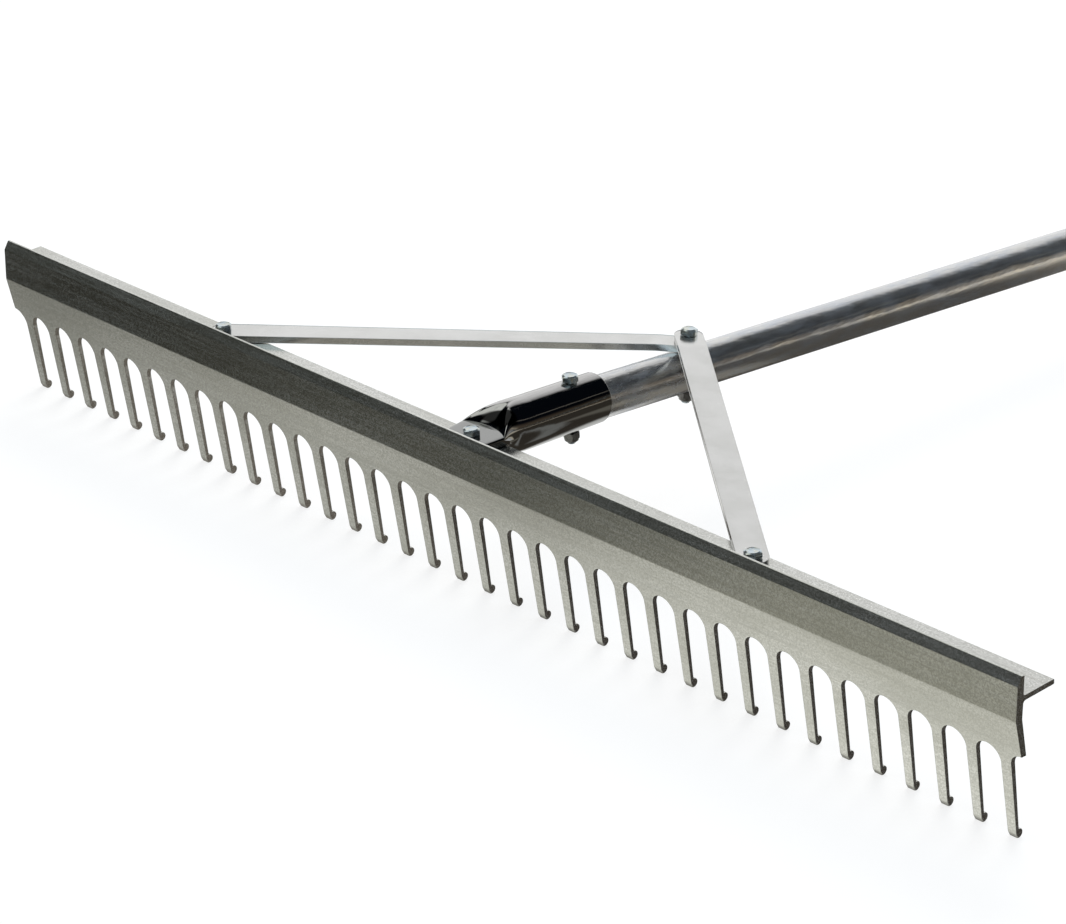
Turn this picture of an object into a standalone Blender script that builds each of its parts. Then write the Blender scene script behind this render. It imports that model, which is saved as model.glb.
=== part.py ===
# Levelling rake for ball fields: a punched aluminium head, two flat braces, a pressed steel ferrule
# and a tubular handle, held together by five bolts with locking nuts.
# Metres. +X runs along the head, +Y from the head to the end of the handle, +Z is up.
# The rake rests on its teeth and on the end cap of its handle, both at z = 0.
import math
import bpy
import bmesh
from mathutils import Matrix, Vector

CLEARANCE = 0.0003

# Head: the plate stands upright down to a crease, then leans back through the teeth
TEETH = 36
PITCH = 0.0254
HEAD_LENGTH = TEETH * PITCH
TOOTH_ROOT_WIDTH = 0.0074
TOOTH_TIP_WIDTH = 0.0061
PLATE_THICK = 0.0054
FIN_HEIGHT = 0.0128
FIN_TOP_THICK = 0.0020
FIN_BEVEL_HEIGHT = 0.0057
CREASE_Z = 0.0836
GAP_TOP_Z = 0.0593
ARCH_RISE = 0.0095
LOWER_LEAN = math.radians(14.4)
TOOTH_LEAN = math.radians(10.3)
ROOT_THICK = 0.0039
TIP_THICK = 0.0029
TIP_CHAMFER_Z = 0.0030
BEAD_RADIUS = 0.0029
CORNER_RADIUS = 0.0008
FILLET_RADIUS = 0.0022

# Flange behind the plate, rising slightly toward the rear
FLANGE_TOP_Z = 0.0980
FLANGE_DEPTH = 0.0260
FLANGE_THICK = 0.0032
FLANGE_RISE = math.radians(3.1)

# Handle
AXIS_HEIGHT = 0.1035
AXIS_SETBACK = 0.0031
TUBE_DIAMETER = 0.028575
TUBE_WALL = 0.00165
TUBE_LENGTH = 1.6764
TUBE_START = 0.062
CAP_WALL = 0.0015
CAP_DEPTH = 0.032
CAP_END_THICK = 0.0028
CAP_ROUND = 0.0015

# Ferrule: a round socket, pressed flat at the front into a tongue that lies on the flange.
# The socket is fuller and lower at its front, and its rear rim stands a little high.
SOCKET_END = 0.1215
SOCKET_WALL = 0.0020
SOCKET_SWELL = 0.0008
SOCKET_DROP = 0.00065
SOCKET_LIFT = 0.0010
RIM_ROUND = 0.0006
TONGUE_WIDTH = 0.0344
TONGUE_FLARE = 0.112
TONGUE_THICK = 0.0061
TONGUE_FRONT = 0.0029
TONGUE_ROUND = 0.006
PRESS_START = 0.0285
PRESS_EDGE_START = 0.0225
PRESS_END = 0.0580
PRESS_SIDE_END = 0.0430
SIDE_FROM = 0.4
SIDE_TO = 0.9

# Braces
BRACE_WIDTH = 0.01905
BRACE_THICK = 0.00476
BRACE_EDGE = 0.0005
BRACE_PAD = 0.020
BRACE_SPREAD = 0.2413
CLAMP_DISTANCE = 0.2065

# Bolts and locking nuts. Three of them stand on the flange, in one line.
BOLT_SETBACK = 0.0130
FERRULE_BOLT_DISTANCE = 0.0992
FERRULE_BOLT_LEAN = math.radians(5)
BOLT_DIAMETER = 0.006
BOLT_HOLE = 0.0068
BOLT_EXTRA = 0.002
HEX_ACROSS = 0.010
HEX_HEAD_HEIGHT = 0.004
HEX_CHAMFER = 0.0005
NUT_HEIGHT = 0.0044
COLLAR_HEIGHT = 0.002
COLLAR_DIAMETER = 0.0093
COLLAR_WALL = 0.0006
FLANGE_BOLTS = ((-BRACE_SPREAD, BOLT_SETBACK), (BRACE_SPREAD, BOLT_SETBACK), (0, BOLT_SETBACK))

# How finely round things are drawn
FASTENER_SIDES = 24
FERRULE_SIDES = 40
TUBE_SIDES = 40
SIDE_POWER = 0.18
TOP_POWER = 0.28
CROWN_POWER = 1.8
NOSE_RINGS = 5
PRESS_RINGS = 12
PRESS_RING_POWER = 1.3

# Where the pieces sit: on the flange, and along the handle. The origin is midway along the rake.
cap_radius = TUBE_DIAMETER / 2 + CLEARANCE + CAP_WALL
handle_end = TUBE_START + TUBE_LENGTH + CLEARANCE + CAP_END_THICK
reach = handle_end - CAP_ROUND
handle_fall = math.asin(AXIS_HEIGHT / math.hypot(reach, cap_radius)) - math.atan2(cap_radius, reach)
handle_run = handle_end * math.cos(handle_fall) + (cap_radius - CAP_ROUND) * math.sin(handle_fall)
plate_front_y = -(AXIS_SETBACK + handle_run) / 2
plate_rear_y = plate_front_y + PLATE_THICK
handle_y = plate_front_y + AXIS_SETBACK
flange_frame = Matrix.Translation((0, plate_rear_y, FLANGE_TOP_Z)) @ Matrix.Rotation(FLANGE_RISE, 4, "X")
handle_frame = Matrix.Translation((0, handle_y, AXIS_HEIGHT)) @ Matrix.Rotation(-handle_fall, 4, "X")
socket_radius = TUBE_DIAMETER / 2 + CLEARANCE + SOCKET_WALL


def on_flange(x, setback, height=0.0):
    return flange_frame @ Matrix.Translation((x, setback, height))


def on_handle(distance, height=0.0):
    return handle_frame @ Matrix.Translation((0, distance, height))


# Radius of the socket's outside at a distance along the handle, and how far it is off the handle's axis
def socket_size(along):
    share = min(max((along - TUBE_START) / (SOCKET_END - TUBE_START), 0.0), 1.0)
    return socket_radius + SOCKET_SWELL * (1 - share), (SOCKET_DROP + SOCKET_LIFT) * share - SOCKET_DROP


# The bolt across the socket leans forward at its head, so its head and nut stand off by what they lean
seat_radius, seat_lift = socket_size(FERRULE_BOLT_DISTANCE)
stand_off = HEX_ACROSS / 2 * math.tan(FERRULE_BOLT_LEAN)
ferrule_seat = on_handle(FERRULE_BOLT_DISTANCE, seat_lift + seat_radius + stand_off)
ferrule_seat = ferrule_seat @ Matrix.Rotation(FERRULE_BOLT_LEAN, 4, "X")
ferrule_grip = 2 * seat_radius / math.cos(FERRULE_BOLT_LEAN) + 2 * stand_off

for old in list(bpy.data.objects):
    bpy.data.objects.remove(old, do_unlink=True)


def material(name, colour, metallic, roughness):
    made = bpy.data.materials.new(name)
    made.use_nodes = True
    shader = made.node_tree.nodes["Principled BSDF"]
    shader.inputs["Base Color"].default_value = (*colour, 1.0)
    shader.inputs["Metallic"].default_value = metallic
    shader.inputs["Roughness"].default_value = roughness
    return made


MILL_ALUMINIUM = ((0.62, 0.62, 0.60), 1.0, 0.38)
DRAWN_ALUMINIUM = ((0.70, 0.70, 0.72), 1.0, 0.25)
BRIGHT_STEEL = ((0.55, 0.55, 0.56), 1.0, 0.12)
ZINC = ((0.60, 0.63, 0.66), 1.0, 0.25)
NYLON = ((0.75, 0.76, 0.78), 0.0, 0.45)
RUBBER = ((0.03, 0.03, 0.03), 0.0, 0.60)


# A skin over rings of equal point count, capped at both ends or joined into a loop
def add_skin(shape, rings, loop):
    rows = [[shape.verts.new(p) for p in ring] for ring in rings]
    pairs = list(zip(rows, rows[1:]))
    if loop:
        pairs.append((rows[-1], rows[0]))
    for near, far in pairs:
        for i in range(len(near)):
            j = (i + 1) % len(near)
            shape.faces.new((near[i], near[j], far[j], far[i]))
    if not loop:
        shape.faces.new(rows[0])
        shape.faces.new(rows[-1])


# An object from one or more sets of rings
def skin(name, solids, finish, place=Matrix(), loop=False):
    shape = bmesh.new()
    for rings in solids:
        add_skin(shape, rings, loop)
    bmesh.ops.recalc_face_normals(shape, faces=shape.faces)
    mesh = bpy.data.meshes.new(name)
    shape.to_mesh(mesh)
    shape.free()
    made = bpy.data.objects.new(name, mesh)
    made.matrix_world = place
    bpy.context.collection.objects.link(made)
    if finish:
        mesh.materials.append(material(name + "_finish", *finish))
    return made


# Rings round the local Z axis, from pairs of height and radius
def turned(profile, sides):
    rings = []
    for height, radius in profile:
        angles = [2 * math.pi * i / sides for i in range(sides)]
        rings.append([Vector((radius * math.cos(a), radius * math.sin(a), height)) for a in angles])
    return rings


# A hexagon's ring, cut back to a circle of the given radius
def hexagon(height, limit):
    ring = []
    for i in range(FASTENER_SIDES):
        angle = 2 * math.pi * i / FASTENER_SIDES
        from_flat = (angle + math.pi / 6) % (math.pi / 3) - math.pi / 6
        radius = min(HEX_ACROSS / 2 / math.cos(from_flat), limit)
        ring.append(Vector((radius * math.cos(angle), radius * math.sin(angle), height)))
    return ring


def cut(target, tool):
    tool.hide_render = True
    tool.display_type = "WIRE"
    step = target.modifiers.new(tool.name, "BOOLEAN")
    step.operation = "DIFFERENCE"
    step.solver = "EXACT"
    step.object = tool


# Bolt holes through a piece, one at each place, along its local Z axis
def drill(target, places, depth):
    rings = turned([(-depth, BOLT_HOLE / 2), (depth, BOLT_HOLE / 2)], FASTENER_SIDES)
    solids = [[[place @ point for point in ring] for ring in rings] for place in places]
    cut(target, skin(target.name + "_drill", solids, None))


def arc(centre_y, centre_z, radius, start, end, steps):
    points = []
    for i in range(steps + 1):
        angle = math.radians(start + (end - start) * i / steps)
        points.append((centre_y + radius * math.cos(angle), centre_z + radius * math.sin(angle)))
    return points


# Side outline of the head, as pairs of y and z, going round from the tip of a tooth
def head_outline():
    crown_z = FLANGE_TOP_Z + FIN_HEIGHT
    spring_z = GAP_TOP_Z - ARCH_RISE
    spring_y = plate_front_y + (CREASE_Z - spring_z) * math.tan(LOWER_LEAN)
    tip_y = spring_y + (spring_z - TIP_CHAMFER_Z) * math.tan(TOOTH_LEAN)
    bead_y = tip_y + TIP_THICK
    bead_z = BEAD_RADIUS
    front = [(bead_y - BEAD_RADIUS * 0.4, 0.0), (tip_y, TIP_CHAMFER_Z), (spring_y, spring_z)]
    front += [(plate_front_y, CREASE_Z), (plate_front_y, crown_z - FIN_BEVEL_HEIGHT)]
    front += [(plate_rear_y - FIN_TOP_THICK, crown_z), (plate_rear_y, crown_z - CORNER_RADIUS)]
    rise = math.degrees(FLANGE_RISE)
    along = Vector((0, math.cos(FLANGE_RISE), math.sin(FLANGE_RISE)))
    across = Vector((0, -math.sin(FLANGE_RISE), math.cos(FLANGE_RISE)))
    corner = Vector((0, plate_rear_y, FLANGE_TOP_Z))
    root = corner + along * FILLET_RADIUS + across * FILLET_RADIUS
    top = arc(root.y, root.z, FILLET_RADIUS, 180 + rise, 270 + rise, 3)
    rim_top = corner + along * (FLANGE_DEPTH - CORNER_RADIUS) - across * CORNER_RADIUS
    rim_low = corner + along * (FLANGE_DEPTH - CORNER_RADIUS) - across * (FLANGE_THICK - CORNER_RADIUS)
    rim = arc(rim_top.y, rim_top.z, CORNER_RADIUS, 90 + rise, rise, 2)
    rim += arc(rim_low.y, rim_low.z, CORNER_RADIUS, rise, rise - 90, 2)
    under = corner + along * FILLET_RADIUS - across * (FLANGE_THICK + FILLET_RADIUS)
    low = arc(under.y, under.z, FILLET_RADIUS, 90 + rise, 180, 3)
    rear = [(plate_rear_y, CREASE_Z), (spring_y + ROOT_THICK, spring_z)]
    bead = arc(bead_y, bead_z, BEAD_RADIUS, 100, -90, 7)
    return front + top + rim + low + rear + bead


# Outline of one punched gap, as pairs of x and z round its centre line
def gap_outline():
    root = (PITCH - TOOTH_ROOT_WIDTH) / 2
    tip = (PITCH - TOOTH_TIP_WIDTH) / 2
    spring_z = GAP_TOP_Z - ARCH_RISE
    depth = 0.008
    below = tip + (tip - root) * depth / spring_z
    arch = []
    for i in range(11):
        angle = math.pi * i / 10
        arch.append((-root * math.cos(angle), spring_z + ARCH_RISE * math.sin(angle)))
    return [(-below, -depth)] + arch + [(below, -depth)]


def build_head():
    half = HEAD_LENGTH / 2
    outline = head_outline()
    rings = [[Vector((x, y, z)) for y, z in outline] for x in (-half, half)]
    head = skin("rake_head", [rings], MILL_ALUMINIUM)
    gap_span = (plate_front_y - GAP_TOP_Z, plate_front_y + 2 * GAP_TOP_Z)
    gaps = []
    for index in range(TEETH + 1):
        centre = -half + index * PITCH
        gaps.append([[Vector((centre + x, y, z)) for x, z in gap_outline()] for y in gap_span])
    cut(head, skin("gaps", gaps, None))
    drill(head, [on_flange(x, setback) for x, setback in FLANGE_BOLTS], 2 * FLANGE_THICK)


# Where the ferrule starts to open and where it is round, behind the plate, in the direction of c across
# and s up. The flat ends in an arc. Its underside opens only behind the flange, its sides are round first.
def press_span(c, s):
    start = PRESS_START - (PRESS_START - PRESS_EDGE_START) * abs(c) ** (2 * SIDE_POWER)
    if s < CLEARANCE:
        start = FLANGE_DEPTH + 2 * CLEARANCE
    side = min(max((abs(c) - SIDE_FROM) / (SIDE_TO - SIDE_FROM), 0.0), 1.0)
    return start, PRESS_END - (PRESS_END - PRESS_SIDE_END) * side


# Directions round the ferrule, closer together toward the top and the bottom, where the flat is
def ferrule_directions():
    steps = FERRULE_SIDES // 4
    quarter = [math.pi / 2 * (1 - (1 - i / steps) ** CROWN_POWER) for i in range(steps + 1)]
    half = quarter + [math.pi - angle for angle in reversed(quarter[:-1])]
    angles = half + [math.pi + angle for angle in half[1:-1]]
    return [(math.cos(angle), math.sin(angle)) for angle in angles]


# A point of the ferrule's outside behind the plate: flat where the share is 1, and round where it is 0
def ferrule_point(c, s, distance, share, trim=0.0):
    nose = min(max((TONGUE_FRONT + TONGUE_ROUND - distance) / TONGUE_ROUND, 0.0), 1.0)
    half = TONGUE_WIDTH / 2 + TONGUE_FLARE * distance - TONGUE_ROUND * (1 - math.sqrt(1 - nose * nose))
    x = math.copysign(abs(c) ** SIDE_POWER, c) * half
    z = CLEARANCE + TONGUE_THICK / 2 * (1 + math.copysign(abs(s) ** TOP_POWER, s))
    flat = flange_frame @ Vector((x, distance, z))
    along = plate_rear_y - handle_y + distance
    radius, lift = socket_size(along)
    full = handle_frame @ Vector(((radius - trim) * c, along, lift + (radius - trim) * s))
    return full.lerp(flat, share)


def build_ferrule():
    directions = ferrule_directions()
    rings = []
    for i in range(NOSE_RINGS + 1):
        distance = TONGUE_FRONT + TONGUE_ROUND * (1 - math.cos(math.pi / 2 * i / NOSE_RINGS))
        rings.append([ferrule_point(c, s, distance, 1) for c, s in directions])
    for i in range(PRESS_RINGS + 1):
        step = (i / PRESS_RINGS) ** PRESS_RING_POWER
        ring = []
        for c, s in directions:
            start, end = press_span(c, s)
            ring.append(ferrule_point(c, s, start + (end - start) * step, (1 - step) ** 3))
        rings.append(ring)
    rim = SOCKET_END - plate_rear_y + handle_y
    for distance, trim in ((rim - RIM_ROUND, 0.0), (rim, RIM_ROUND)):
        rings.append([ferrule_point(c, s, distance, 0, trim) for c, s in directions])
    inside = socket_radius - SOCKET_WALL
    for depth in (SOCKET_END, TUBE_START - CLEARANCE):
        rings.append([handle_frame @ Vector((inside * c, depth, inside * s)) for c, s in directions])
    ferrule = skin("handle_ferrule", [rings], BRIGHT_STEEL)
    drill(ferrule, [on_flange(0, BOLT_SETBACK)], 2 * TONGUE_THICK)
    drill(ferrule, [ferrule_seat], 3 * socket_radius)


def build_tube():
    outer = TUBE_DIAMETER / 2
    inner = outer - TUBE_WALL
    end = TUBE_START + TUBE_LENGTH
    rings = turned([(TUBE_START, inner), (TUBE_START, outer), (end, outer), (end, inner)], TUBE_SIDES)
    place = handle_frame @ Matrix.Rotation(-math.pi / 2, 4, "X")
    tube = skin("handle_tube", [[[place @ p for p in ring] for ring in rings]], DRAWN_ALUMINIUM, loop=True)
    drill(tube, [ferrule_seat, on_handle(CLAMP_DISTANCE)], 2 * TUBE_DIAMETER)


def build_cap():
    inner = TUBE_DIAMETER / 2 + CLEARANCE
    floor = TUBE_START + TUBE_LENGTH + CLEARANCE
    mouth = floor - CAP_DEPTH
    profile = [(floor, inner), (mouth, inner), (mouth, cap_radius), (handle_end - CAP_ROUND, cap_radius)]
    profile += [(handle_end, cap_radius - CAP_ROUND)]
    place = handle_frame @ Matrix.Rotation(-math.pi / 2, 4, "X")
    skin("handle_end_cap", [turned(profile, TUBE_SIDES)], RUBBER, place)


# A flat bar with round ends: one pad on the flange, one on the tube or on the other brace
def build_brace(name, side, layer):
    foot = on_flange(side * BRACE_SPREAD, BOLT_SETBACK, CLEARANCE)
    height = TUBE_DIAMETER / 2 + CLEARANCE + layer * (BRACE_THICK + CLEARANCE)
    clamp = on_handle(CLAMP_DISTANCE, height)
    start = foot.to_translation()
    span = clamp.to_translation() - start
    length = math.hypot(span.x, span.y)
    forward = Vector((span.x / length, span.y / length, 0))
    sideways = Vector((-forward.y, forward.x, 0))

    def level(frame, x, y):
        normal = frame.to_3x3() @ Vector((0, 0, 1))
        origin = frame.to_translation()
        return origin.z - ((x - origin.x) * normal.x + (y - origin.y) * normal.y) / normal.z

    def underside(distance, offset):
        point = start + forward * distance + sideways * offset
        if distance <= BRACE_PAD:
            return Vector((point.x, point.y, level(foot, point.x, point.y)))
        if distance >= length - BRACE_PAD:
            return Vector((point.x, point.y, level(clamp, point.x, point.y)))
        first = underside(BRACE_PAD, offset)
        last = underside(length - BRACE_PAD, offset)
        return first.lerp(last, (distance - BRACE_PAD) / (length - 2 * BRACE_PAD))

    half = BRACE_WIDTH / 2
    quarter = [math.pi / 2 * i / 6 for i in range(7)]
    stations = [(-half * math.cos(a), max(half * math.sin(a), BRACE_EDGE)) for a in quarter]
    stations += [(BRACE_PAD + (length - 2 * BRACE_PAD) * i / 8, half) for i in range(9)]
    stations += [(length + half * math.sin(a), max(half * math.cos(a), BRACE_EDGE)) for a in quarter]
    rings = []
    for distance, width in stations:
        edge = min(BRACE_EDGE, width / 2)
        corners = [(-width, edge), (-width + edge, 0), (width - edge, 0), (width, edge)]
        corners += [(offset, BRACE_THICK - lift) for offset, lift in reversed(corners)]
        rings.append([underside(distance, offset) + Vector((0, 0, lift)) for offset, lift in corners])
    brace = skin(name, [rings], MILL_ALUMINIUM)
    drill(brace, [foot, clamp], 2 * BRACE_THICK)


def build_bolt(name, place, grip):
    tip = -(grip + CLEARANCE + NUT_HEIGHT + COLLAR_HEIGHT + BOLT_EXTRA)
    shank = BOLT_DIAMETER / 2
    corner = HEX_ACROSS / math.sqrt(3)
    flat = HEX_ACROSS / 2
    rings = turned([(tip, shank - HEX_CHAMFER), (tip + HEX_CHAMFER, shank), (CLEARANCE, shank)], FASTENER_SIDES)
    rings += [hexagon(CLEARANCE, corner), hexagon(CLEARANCE + HEX_HEAD_HEIGHT - HEX_CHAMFER, corner)]
    rings += [hexagon(CLEARANCE + HEX_HEAD_HEIGHT, flat)]
    skin(name, [rings], ZINC, place)


# A nut with a round collar, and the nylon ring that the collar holds
def build_nut(name, place):
    bore = BOLT_DIAMETER / 2 + CLEARANCE
    corner = HEX_ACROSS / math.sqrt(3)
    flat = HEX_ACROSS / 2
    collar = COLLAR_DIAMETER / 2
    pocket = collar - COLLAR_WALL
    base = CLEARANCE
    shoulder = base + NUT_HEIGHT
    top = shoulder + COLLAR_HEIGHT
    rings = turned([(base, bore)], FASTENER_SIDES)
    rings += [hexagon(base, corner), hexagon(shoulder - HEX_CHAMFER, corner), hexagon(shoulder, flat)]
    profile = [(shoulder, collar), (top, collar), (top, pocket), (shoulder, pocket), (shoulder, bore)]
    rings += turned(profile, FASTENER_SIDES)
    skin(name, [rings], ZINC, place, loop=True)
    low = shoulder + CLEARANCE
    profile = [(low, bore), (low, pocket - CLEARANCE), (top, pocket - CLEARANCE), (top, bore)]
    skin(name + "_ring", [turned(profile, FASTENER_SIDES)], NYLON, place, loop=True)


def fasten(name, seat, grip, turn):
    place = seat @ Matrix.Rotation(math.radians(turn), 4, "Z")
    build_bolt(name + "_bolt", place, grip)
    under = place @ Matrix.Translation((0, 0, -grip)) @ Matrix.Rotation(math.pi, 4, "X")
    build_nut(name + "_nut", under)


build_head()
build_ferrule()
build_tube()
build_cap()
build_brace("left_brace", -1, 0)
build_brace("right_brace", 1, 1)

brace_grip = BRACE_THICK + CLEARANCE + FLANGE_THICK
brace_top = CLEARANCE + BRACE_THICK
fasten("left_brace", on_flange(-BRACE_SPREAD, BOLT_SETBACK, brace_top), brace_grip, 46)
fasten("right_brace", on_flange(BRACE_SPREAD, BOLT_SETBACK, brace_top), brace_grip, 58)
tongue_grip = TONGUE_THICK + CLEARANCE + FLANGE_THICK
fasten("tongue", on_flange(0, BOLT_SETBACK, CLEARANCE + TONGUE_THICK), tongue_grip, 54)
fasten("ferrule", ferrule_seat, ferrule_grip, 53)
clamp_stack = TUBE_DIAMETER / 2 + 2 * (CLEARANCE + BRACE_THICK)
fasten("clamp", on_handle(CLAMP_DISTANCE, clamp_stack), clamp_stack + TUBE_DIAMETER / 2, 28)
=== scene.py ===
"""Levelling rake for ball fields: its head, ferrule, handle, braces and fasteners, dressed."""
import math

import bmesh
import bpy
import numpy as np
from mathutils import Matrix, Vector


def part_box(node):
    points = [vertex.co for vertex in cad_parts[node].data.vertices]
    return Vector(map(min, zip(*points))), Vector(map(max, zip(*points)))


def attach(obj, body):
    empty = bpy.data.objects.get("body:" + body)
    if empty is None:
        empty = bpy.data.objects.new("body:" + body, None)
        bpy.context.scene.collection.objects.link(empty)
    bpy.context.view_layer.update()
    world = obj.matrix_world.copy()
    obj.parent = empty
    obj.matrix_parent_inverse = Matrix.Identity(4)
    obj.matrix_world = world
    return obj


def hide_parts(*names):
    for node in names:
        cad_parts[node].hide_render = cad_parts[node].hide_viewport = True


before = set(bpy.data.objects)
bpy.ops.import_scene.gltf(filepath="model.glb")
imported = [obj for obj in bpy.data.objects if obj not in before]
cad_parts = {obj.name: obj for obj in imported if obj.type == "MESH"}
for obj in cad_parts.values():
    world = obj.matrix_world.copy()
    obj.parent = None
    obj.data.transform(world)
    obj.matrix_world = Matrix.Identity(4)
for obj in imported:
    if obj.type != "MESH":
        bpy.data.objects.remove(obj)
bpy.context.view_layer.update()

# Camera: a long lens, a little above the rake and well to the right of it, so that the head runs
# from the near right corner to the far left and the handle leaves the picture at the right.
eye = Vector((1.703198, -2.417096, 1.120466))
gaze = Vector((-0.66212, 0.62830, -0.40845)).normalized()
right = Vector((0.68882, 0.72493, -0.00149))
right = (right - gaze * right.dot(gaze)).normalized()
above = right.cross(gaze)
lens = bpy.data.cameras.new("camera")
lens.sensor_fit = "HORIZONTAL"
lens.sensor_width = 36.0
lens.lens = 137.26
lens.clip_end = 50.0
camera = bpy.data.objects.new("camera", lens)
camera.matrix_world = Matrix.Translation(eye) @ Matrix((right, above, -gaze)).transposed().to_4x4()
bpy.context.scene.collection.objects.link(camera)
bpy.context.scene.camera = camera
bpy.context.scene.view_settings.view_transform = "Standard"


# Studio: a white table under a bright tent that stands behind and above the rake, in a dark room
# with a warm wall, a low grey card in front, a pale card overhead and a window. The rake reflects
# the room, and the camera itself sees white all round, with the rake's shadow on the table.
class Wire:
    """One shader socket. Python's operators on wires add Math nodes, and add() makes any node."""

    def __init__(self, tree, socket=None):
        self.tree = tree
        self.socket = socket

    def add(self, kind, settings, inputs, out=0):
        """A node with its settings, its inputs joined or set, and one output as the new wire."""
        made = self.tree.nodes.new("ShaderNode" + kind)
        for key, value in settings.items():
            if key == "stops":
                ramp = made.color_ramp.elements
                while len(ramp) < len(value):
                    ramp.new(0.5)
                for stop, (place, tint) in zip(ramp, value):
                    stop.position = place
                    stop.color = (*tint, 1.0)
            else:
                setattr(made, key, value)
        for key, value in inputs.items():
            if isinstance(value, Wire):
                self.tree.links.new(value.socket, made.inputs[key])
            else:
                made.inputs[key].default_value = value
        return Wire(self.tree, made.outputs[out]) if made.outputs else None

    def math(self, operation, *values):
        return self.add("Math", {"operation": operation}, dict(enumerate((self, *values))))

    def __add__(self, other):
        return self.math("ADD", other)

    def __sub__(self, other):
        return self.math("SUBTRACT", other)

    def __rsub__(self, other):
        return self * -1 + other

    def __mul__(self, other):
        return self.math("MULTIPLY", other)

    __radd__ = __add__
    __rmul__ = __mul__

    def step(self, low, high):
        """0 below low, 1 above high and a smooth S between. With low above high it falls."""
        if low > high:
            return 1 - self.step(high, low)
        span = {"Value": self, "From Min": low, "From Max": high}
        return self.add("MapRange", {"interpolation_type": "SMOOTHSTEP"}, span)

    def blend(self, first, second):
        """The colour first where this is 0 and second where it is 1."""
        return self.add("Mix", {"data_type": "RGBA"}, {0: self, 6: first, 7: second}, 2)


def colour(red, green, blue):
    """An opaque colour."""
    return (red, green, blue, 1.0)


def parts_of(root, vector):
    """The three components of a vector wire."""
    return [root.add("SeparateXYZ", {}, {"Vector": vector}, out) for out in range(3)]


def light_path(root, out):
    """1 for the rays of one kind and 0 for all others."""
    return root.add("LightPath", {}, {}, out)


WHITE = colour(1.0, 1.0, 1.0)

world = bpy.data.worlds.new("studio")
bpy.context.scene.world = world
world.use_nodes = True
sky = Wire(world.node_tree)
ray = sky.add("TexCoord", {}, {}, "Generated")
ray_x, ray_y, ray_z = parts_of(sky, ray)
# the room, laid out by the direction of the ray in soft-edged patches, each over those before it
toward_tent = ray_x * -0.551 + ray_y * 0.521 + ray_z * -0.652
tent_stops = [(at, (v, v, v)) for at, v in ((0.0, 0.0), (0.10, 0.55), (0.30, 0.86), (0.80, 1.0))]
tent = toward_tent.add("ValToRGB", {"stops": tent_stops}, {"Fac": toward_tent})
wall = ray_z.step(0.30, 0.10) * ray_x.step(0.2, 0.6)
wall_tone = ray_y.step(0.70, 0.80).blend(colour(0.105, 0.080, 0.057), colour(0.52, 0.46, 0.36))
low_card = ray_z.step(0.50, 0.38) * ray_y.step(-0.2, -0.5)
card_tones = colour(0.050, 0.052, 0.046), colour(0.095, 0.097, 0.095)
low_card_tone = ray_x.step(-0.63, -0.58).blend(*card_tones)
overhead = ray_x.step(-0.75, -0.69) * ray_x.step(-0.15, -0.28)
overhead = overhead * ray_y.step(-0.72, -0.55) * ray_y.step(0.36, 0.28)
overhead = overhead * ray_z.step(0.58, 0.64) * ray_z.step(0.96, 0.92)
rail = (ray_z - 0.42).math("ABSOLUTE").step(0.020, 0.008) * ray_x.step(0.4, 0.5)
window = (ray_x * 0.62 + ray_y * -0.66 + ray_z * 0.42).step(0.90, 0.95)
before_tent = toward_tent.step(0.0, 0.02) * ray_y.step(0.26, 0.38)
room = colour(0.002, 0.003, 0.005)
for patch, tone in (
    (wall, wall_tone),
    (low_card, low_card_tone),
    (overhead, colour(0.80, 0.82, 0.78)),
    (rail, colour(0.14, 0.13, 0.11)),
    (window, colour(0.80, 0.95, 1.0)),
    (before_tent, tent),
):
    room = patch.blend(room, tone)
seen = light_path(sky, "Is Camera Ray").blend(room, WHITE)
background = world.node_tree.nodes["Background"]
world.node_tree.links.new(seen.socket, background.inputs["Color"])

FLOOR_REACH = 8.0
floor_mesh = bpy.data.meshes.new("floor")
corners = [(x * FLOOR_REACH, y * FLOOR_REACH, 0) for x, y in ((-1, -1), (1, -1), (1, 1), (-1, 1))]
floor_mesh.from_pydata(corners, [], [(0, 1, 2, 3)])
floor = bpy.data.objects.new("floor", floor_mesh)
bpy.context.scene.collection.objects.link(floor)
pale = bpy.data.materials.new("pale_floor")
pale.use_nodes = True
pale.node_tree.nodes.clear()
ground = Wire(pale.node_tree)
spot = ground.add("TexCoord", {}, {}, "Object")
spot_x, spot_y = parts_of(ground, spot)[:2]


def along_head(stops, tint):
    """A tone that changes along the head, from pairs of x and brightness."""
    start, span = -0.5, 0.9
    places = [((x - start) / span, tuple(value * part for part in tint)) for x, value in stops]
    return spot_x.add("ValToRGB", {"stops": places}, {"Fac": (spot_x - start) * (1 / span)})


# painted reflections: what the metal sees of the table, which glows with these tones for glossy
# rays only. In front of the head three strips along it, the first at the teeth, and behind the head
# patches beside the handle, laid one over another. The dark tones just behind the head are its
# painted shadow.
first_stops = [(-0.5, 0.37), (-0.05, 0.58), (0.15, 0.76), (0.35, 0.86)]
second_stops = [(-0.5, 0.27), (-0.22, 0.46), (0.0, 0.44), (0.22, 0.66)]
third_stops = [(-0.5, 0.042), (-0.12, 0.105), (0.05, 0.215), (0.16, 0.33), (0.3, 0.37)]
first_strip = along_head(first_stops, (1.0, 1.0, 0.93))
second_strip = along_head(second_stops, (1.0, 0.99, 0.89))
third_strip = along_head(third_stops, (1.0, 0.99, 0.84))
front = spot_y.step(-0.925, -0.875).blend(second_strip, first_strip)
front = spot_y.step(-0.950, -0.925).blend(third_strip, front)
far = spot_y.step(-0.30, 0.05) * (spot_x * 0.75 - spot_y).step(0.55, 0.20)
beside_handle = spot_x.step(-0.02, 0.02) * spot_x.step(0.22, 0.16)
beside_handle = beside_handle * spot_y.step(-0.66, -0.63) * spot_y.step(-0.50, -0.55)
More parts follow.
